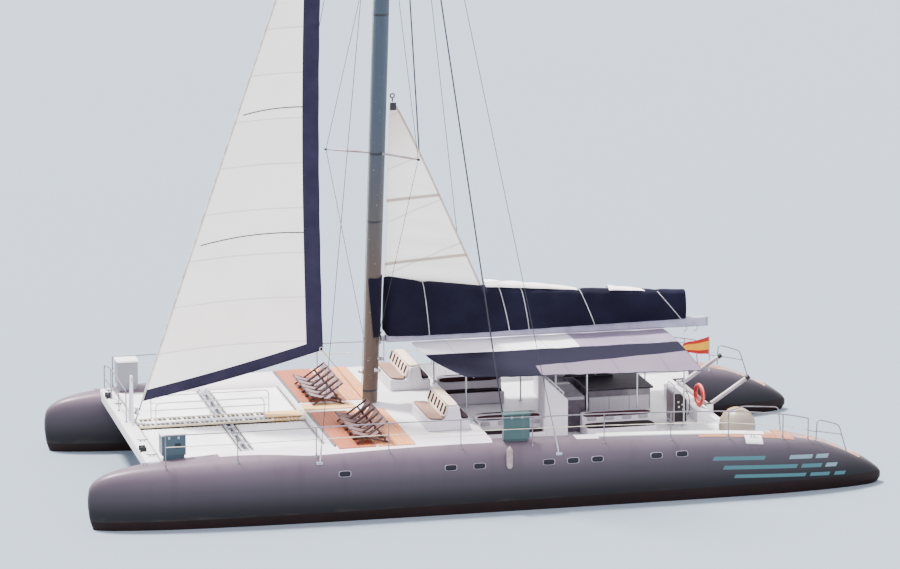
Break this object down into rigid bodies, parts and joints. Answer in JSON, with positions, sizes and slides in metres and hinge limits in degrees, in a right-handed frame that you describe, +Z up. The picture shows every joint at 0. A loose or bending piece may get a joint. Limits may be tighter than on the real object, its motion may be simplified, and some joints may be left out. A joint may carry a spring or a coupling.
{
  "type": "sailing catamaran",
  "caption": "Cruising catamaran afloat, with rotating wing mast, headsail, stowed mainsail on its boom, netted foredeck, covered cockpit, rudders and propellers.",
  "frame": {"origin": "on the waterline, on the centreline and amidships", "axes": "+X forward to the bows, +Y to port, +Z up"},
  "size_m": [22.62, 10.64, 27.0242],
  "materials": {
    "hull_paint": "satin silver-grey paint with a dark red boot top",
    "white_moulding": "satin white gelcoat",
    "alloy": "painted and anodised",
    "steel": "polished stainless tube and wire",
    "net": "white woven mesh",
    "locker_teal": "grey-teal gelcoat",
    "counter_grey": "satin",
    "canopy_navy": "navy canvas",
    "sailcloth": "woven cream sailcloth",
    "cover_navy": "dark navy canvas",
    "chair_wood": "varnished red-brown wood",
    "raft_white": "satin shell",
    "flag_cloth": "woven cloth",
    "buoy_red": "satin",
    "mast_paint": "grey paint",
    "bronze": "dull bronze"
  },
  "bodies": {
    "root": {"port_hull": "hull_paint", "starboard_hull": "hull_paint", "foredeck": "white_moulding", "cockpit_sole": "white_moulding", "front_beam": "white_moulding", "middle_beam": "alloy", "walkway": "white_moulding", "trampoline_fore_port": "net", "trampoline_aft_port": "net", "trampoline_fore_starboard": "net", "trampoline_aft_starboard": "net", "port_bow_locker": "locker_teal", "starboard_bow_locker": "locker_teal", "rail_locker": "locker_teal", "port_rail": "steel", "starboard_rail": "steel", "bow_pulpit": "steel", "lounge_port": "white_moulding", "lounge_starboard": "white_moulding", "cockpit_bench_port": "white_moulding", "cockpit_bench_starboard": "white_moulding", "companionway_port": "white_moulding", "companionway_starboard": "white_moulding", "aft_bench_port": "white_moulding", "aft_bench_starboard": "white_moulding", "bar": "counter_grey", "helm_console": "white_moulding", "canopy_top": "white_moulding", "canopy_wing_port": "canopy_navy", "canopy_wing_starboard": "canopy_navy", "canopy_frame_port": "steel", "canopy_frame_starboard": "steel", "deck_chairs_port": "chair_wood", "deck_chairs_starboard": "chair_wood", "life_raft": "raft_white", "flagstaff": "flag_cloth", "lifebuoy": "buoy_red", "forestay": "steel", "cap_shroud_port": "steel", "cap_shroud_starboard": "steel", "aft_stay_port": "steel", "aft_stay_starboard": "steel", "headsail": "sailcloth"},
    "mast": {"mast": "mast_paint", "diamond_port": "steel", "diamond_starboard": "steel"},
    "gooseneck": {"gooseneck": "alloy"},
    "boom": {"boom": "alloy", "sail_cover": "cover_navy", "mainsail": "sailcloth"},
    "port_rudder": {"port_rudder": "hull_paint"},
    "starboard_rudder": {"starboard_rudder": "hull_paint"},
    "port_propeller": {"port_propeller": "bronze"},
    "starboard_propeller": {"starboard_propeller": "bronze"},
    "helm_wheel": {"helm_wheel": "steel"},
    "davits": {"davits": "alloy"},
    "port_bow_locker_lid": {"port_bow_locker_lid": "white_moulding"},
    "starboard_bow_locker_lid": {"starboard_bow_locker_lid": "white_moulding"},
    "rail_locker_lid": {"rail_locker_lid": "locker_teal"}
  },
  "joints": [
    {"name": "mast_turn", "type": "hinge", "parent": "root", "child": "mast", "pos_m": [2.55, 0, 2.05], "axis": [-0.0349, 0, 0.9994], "range_deg": [-104, 0]},
    {"name": "gooseneck_turn", "type": "hinge", "parent": "mast", "child": "gooseneck", "pos_m": [2.16859, -0.40977, 3.79883], "axis": [-0.0349, 0, 0.9994], "range_deg": [0, 104]},
    {"name": "boom_swing", "type": "hinge", "parent": "gooseneck", "child": "boom", "pos_m": [2.16859, -0.40977, 3.79883], "axis": [-0.0349, 0, 0.9994], "range_deg": [-35, 35]},
    {"name": "port_rudder_turn", "type": "hinge", "parent": "root", "child": "port_rudder", "pos_m": [-8.5, 4.47, -1], "axis": [0, 0, 1], "range_deg": [-35, 35]},
    {"name": "starboard_rudder_turn", "type": "hinge", "parent": "root", "child": "starboard_rudder", "pos_m": [-8.5, -4.47, -1], "axis": [0, 0, 1], "range_deg": [-35, 35]},
    {"name": "helm_wheel_turn", "type": "hinge", "parent": "root", "child": "helm_wheel", "pos_m": [-6.44, 1.5, 1.85], "axis": [1, 0, 0], "range_deg": [-350, 350]},
    {"name": "port_propeller_spin", "type": "hinge", "parent": "root", "child": "port_propeller", "pos_m": [-7.15, 4.47, -0.98], "axis": [1, 0, 0], "continuous": true},
    {"name": "starboard_propeller_spin", "type": "hinge", "parent": "root", "child": "starboard_propeller", "pos_m": [-7.15, -4.47, -0.98], "axis": [1, 0, 0], "continuous": true},
    {"name": "davits_tilt", "type": "hinge", "parent": "root", "child": "davits", "pos_m": [-7.13, 0, 1.71], "axis": [0, 1, 0], "range_deg": [-30, 50]},
    {"name": "port_bow_locker_lid_hinge", "type": "hinge", "parent": "root", "child": "port_bow_locker_lid", "pos_m": [8.91, 3.695, 2.4303], "axis": [1, 0, 0], "range_deg": [0, 100]},
    {"name": "starboard_bow_locker_lid_hinge", "type": "hinge", "parent": "root", "child": "starboard_bow_locker_lid", "pos_m": [8.9, -4.105, 2.5803], "axis": [-1, 0, 0], "range_deg": [0, 100]},
    {"name": "rail_locker_lid_hinge", "type": "hinge", "parent": "root", "child": "rail_locker_lid", "pos_m": [-0.55, 4.735, 2.6403], "axis": [1, 0, 0], "range_deg": [0, 100]}
  ],
  "couplings": [
    {"joint": "gooseneck_turn", "follows": "mast_turn", "ratio": -1},
    {"joint": "starboard_rudder_turn", "follows": "port_rudder_turn", "ratio": 1},
    {"joint": "helm_wheel_turn", "follows": "port_rudder_turn", "ratio": 10}
  ]
}
